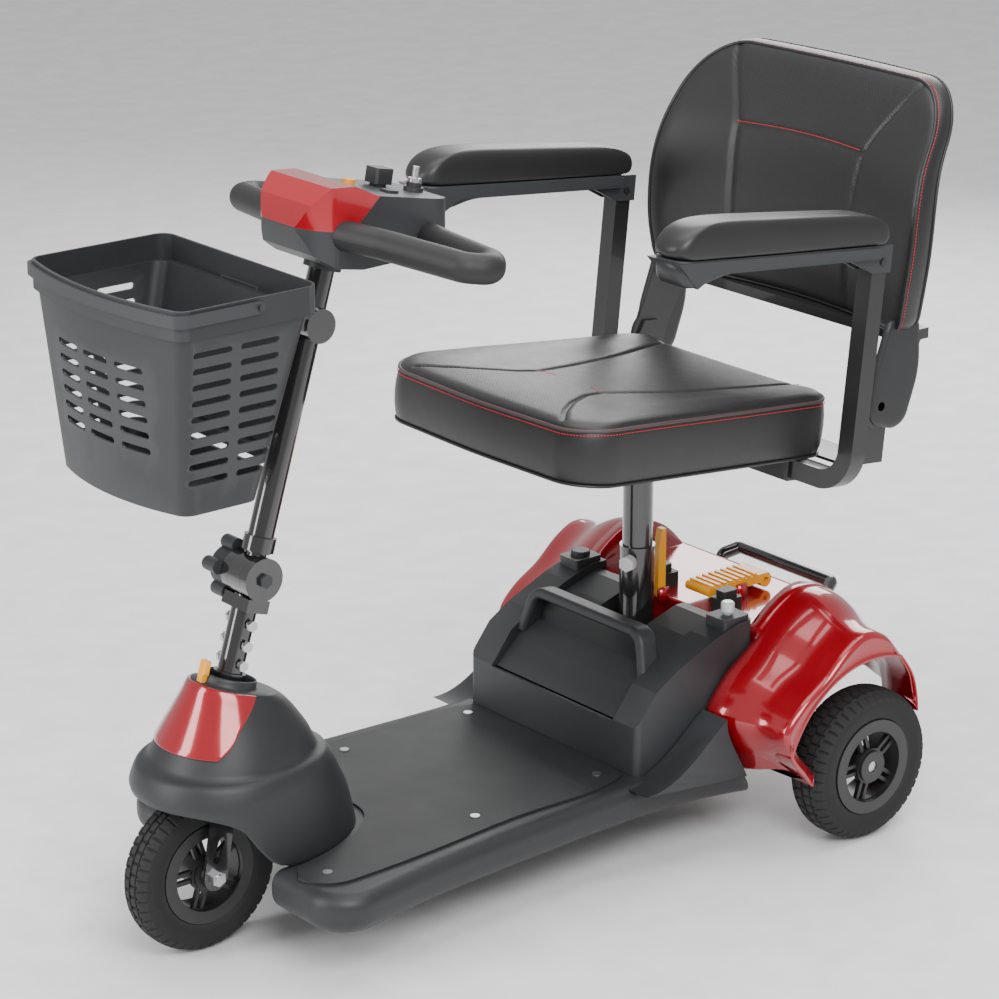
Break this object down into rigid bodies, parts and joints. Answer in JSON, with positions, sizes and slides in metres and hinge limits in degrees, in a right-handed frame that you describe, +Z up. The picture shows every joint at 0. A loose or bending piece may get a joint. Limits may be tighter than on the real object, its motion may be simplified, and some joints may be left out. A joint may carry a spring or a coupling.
{
  "type": "mobility scooter",
  "caption": "Travel mobility scooter with a single steered front wheel, padded swivel seat with armrests, tiller with loop handle, front basket and lift-out battery pack.",
  "frame": {"origin": "on the ground under the middle of the overall box", "axes": "+X forward, +Y to the rider's left, +Z up"},
  "size_m": [1.2063, 0.6, 0.962],
  "materials": {
    "tyre_rubber": "block tread, matt",
    "rim_plastic": "satin",
    "charcoal_plastic": "fine texture",
    "red_plastic": "gloss",
    "black_steel": "gloss",
    "armrest_steel": "satin",
    "zinc_steel": "satin",
    "gear_case": "painted",
    "leatherette": "fine grain with perforated centre panels",
    "pad_foam": "satin skin",
    "mat_rubber": "fine ribs",
    "grip_foam": "matt",
    "clear_knob": "gloss",
    "amber_plastic": "satin",
    "cell_case": "satin",
    "cable_jacket": "satin"
  },
  "bodies": {
    "chassis": {"frame_bearings": "zinc_steel", "main_frame": "black_steel", "transaxle_housing": "gear_case", "drive_motor": "gear_case", "deck": "charcoal_plastic", "deck_mat": "mat_rubber", "deck_screws": "zinc_steel", "rear_shroud": "red_plastic", "rear_bumper_bar": "black_steel", "motor_controller": "cell_case", "front_cowl": "charcoal_plastic", "cowl_panel": "red_plastic", "wiring_harness": "cable_jacket"},
    "post_clamp": {"post_clamp_knob": "clear_knob"},
    "battery_pack": {"battery_tray": "charcoal_plastic", "battery_lid": "charcoal_plastic", "battery_handle": "charcoal_plastic", "battery_cells": "cell_case", "charge_port_cap": "charcoal_plastic"},
    "breaker": {"breaker_button": "clear_knob"},
    "steering": {"fork": "black_steel", "front_axle": "zinc_steel", "lower_column": "black_steel", "column_bolts": "zinc_steel"},
    "front_wheel": {"front_tyre": "tyre_rubber", "front_rim": "rim_plastic", "front_bearings": "zinc_steel"},
    "tiller": {"upper_column": "black_steel", "console_panel": "red_plastic", "console_upper": "charcoal_plastic", "console_lower": "charcoal_plastic", "handlebar": "grip_foam", "dash_fittings": "charcoal_plastic"},
    "tiller_knob": {"knuckle_knob": "charcoal_plastic"},
    "throttle": {"throttle_paddle": "charcoal_plastic"},
    "speed_knob": {"speed_dial": "charcoal_plastic"},
    "horn": {"horn_button": "amber_plastic"},
    "key": {"ignition_key": "zinc_steel"},
    "basket_body": {"basket": "charcoal_plastic"},
    "basket_bail": {"basket_handle": "charcoal_plastic"},
    "rear_wheel_left": {"rear_tyre_left": "tyre_rubber", "rear_rim_left": "rim_plastic", "rear_axle_left": "zinc_steel"},
    "rear_wheel_right": {"rear_tyre_right": "tyre_rubber", "rear_rim_right": "rim_plastic", "rear_axle_right": "zinc_steel"},
    "frame_latch": {"frame_latch_lever": "amber_plastic"},
    "freewheel": {"freewheel_lever": "amber_plastic"},
    "steering_lock": {"steering_lock_lever": "amber_plastic"},
    "post": {"seat_post": "zinc_steel"},
    "seat": {"seat_frame": "armrest_steel", "seat_cushion": "leatherette"},
    "backrest": {"back_frame": "armrest_steel", "back_cushion": "leatherette"},
    "armrest_left": {"armrest_frame_left": "armrest_steel"},
    "armrest_right": {"armrest_frame_right": "armrest_steel"},
    "pad_left": {"armrest_bracket_left": "charcoal_plastic", "armrest_pad_left": "pad_foam"},
    "pad_right": {"armrest_bracket_right": "charcoal_plastic", "armrest_pad_right": "pad_foam"}
  },
  "joints": [
    {"name": "steer", "type": "hinge", "parent": "chassis", "child": "steering", "pos_m": [0.52585, 0, 0], "axis": [-0.2957, 0, 0.9553], "range_deg": [-35, 35]},
    {"name": "front_wheel_spin", "type": "hinge", "parent": "steering", "child": "front_wheel", "pos_m": [0.47085, 0, 0.1016], "axis": [0, 1, 0], "continuous": true},
    {"name": "rear_wheel_left_spin", "type": "hinge", "parent": "chassis", "child": "rear_wheel_left", "pos_m": [-0.38115, 0.27, 0.1016], "axis": [0, 1, 0], "continuous": true},
    {"name": "rear_wheel_right_spin", "type": "hinge", "parent": "chassis", "child": "rear_wheel_right", "pos_m": [-0.38115, -0.27, 0.1016], "axis": [0, 1, 0], "continuous": true},
    {"name": "tiller_tilt", "type": "hinge", "parent": "steering", "child": "tiller", "pos_m": [0.38347, 0, 0.45997], "axis": [0, 1, 0], "range_deg": [-18, 15]},
    {"name": "tiller_knob_turn", "type": "hinge", "parent": "steering", "child": "tiller_knob", "pos_m": [0.38347, 0, 0.45997], "axis": [0, 1, 0], "range_deg": [0, 180]},
    {"name": "throttle_turn", "type": "hinge", "parent": "tiller", "child": "throttle", "pos_m": [0.22485, 0, 0.846], "axis": [0, 0, 1], "range_deg": [-8, 8], "stiffness_Nm_per_rad": 0.6},
    {"name": "speed_dial_turn", "type": "hinge", "parent": "tiller", "child": "speed_knob", "pos_m": [0.17315, -0.02, 0.90027], "axis": [-0.1927, 0, 0.9812], "range_deg": [-135, 135]},
    {"name": "horn_press", "type": "slide", "parent": "tiller", "child": "horn", "axis": [0.1927, 0, -0.9812], "range_m": [0, 0.0025], "stiffness_N_per_m": 300},
    {"name": "key_turn", "type": "hinge", "parent": "tiller", "child": "key", "pos_m": [0.13979, 0.006, 0.89372], "axis": [-0.1927, 0, 0.9812], "range_deg": [0, 90]},
    {"name": "basket_lift", "type": "slide", "parent": "tiller", "child": "basket_body", "axis": [-0.2957, 0, 0.9553], "range_m": [0, 0.1]},
    {"name": "basket_bail_swing", "type": "hinge", "parent": "basket_body", "child": "basket_bail", "pos_m": [0.47385, 0, 0.841], "axis": [0, 1, 0], "range_deg": [-85, 0]},
    {"name": "battery_lift", "type": "slide", "parent": "chassis", "child": "battery_pack", "axis": [0, 0, 1], "range_m": [0, 0.12]},
    {"name": "breaker_press", "type": "slide", "parent": "battery_pack", "child": "breaker", "axis": [0, 0, -1], "range_m": [0, 0.003], "stiffness_N_per_m": 600},
    {"name": "post_clamp_turn", "type": "hinge", "parent": "chassis", "child": "post_clamp", "pos_m": [-0.23215, 0, 0.344], "axis": [0.8944, 0.4472, 0], "range_deg": [0, 180]},
    {"name": "seat_height", "type": "slide", "parent": "chassis", "child": "post", "axis": [0, 0, 1], "range_m": [0, 0.06]},
    {"name": "seat_swivel", "type": "hinge", "parent": "post", "child": "seat", "pos_m": [-0.23215, 0, 0.49], "axis": [0, 0, 1], "range_deg": [-90, 90]},
    {"name": "backrest_fold", "type": "hinge", "parent": "seat", "child": "backrest", "pos_m": [-0.44376, 0, 0.56217], "axis": [0, 1, 0], "range_deg": [0, 10]},
    {"name": "armrest_left_width", "type": "slide", "parent": "seat", "child": "armrest_left", "axis": [0, 1, 0], "range_m": [0, 0.04]},
    {"name": "armrest_right_width", "type": "slide", "parent": "seat", "child": "armrest_right", "axis": [0, -1, 0], "range_m": [0, 0.04]},
    {"name": "armrest_left_raise", "type": "hinge", "parent": "armrest_left", "child": "pad_left", "pos_m": [-0.4039, 0.2425, 0.76645], "axis": [0, 1, 0], "range_deg": [-65, 0]},
    {"name": "armrest_right_raise", "type": "hinge", "parent": "armrest_right", "child": "pad_right", "pos_m": [-0.4039, -0.2425, 0.76645], "axis": [0, 1, 0], "range_deg": [-65, 0]},
    {"name": "frame_latch_turn", "type": "hinge", "parent": "chassis", "child": "frame_latch", "pos_m": [-0.41115, 0.035, 0.285], "axis": [0, 1, 0], "range_deg": [-40, 0]},
    {"name": "freewheel_turn", "type": "hinge", "parent": "chassis", "child": "freewheel", "pos_m": [-0.27465, -0.003, 0.28], "axis": [0, 1, 0], "range_deg": [-50, 0]},
    {"name": "steering_lock_slide", "type": "slide", "parent": "chassis", "child": "steering_lock", "axis": [-0.2957, 0, 0.9553], "range_m": [0, 0.006]}
  ]
}
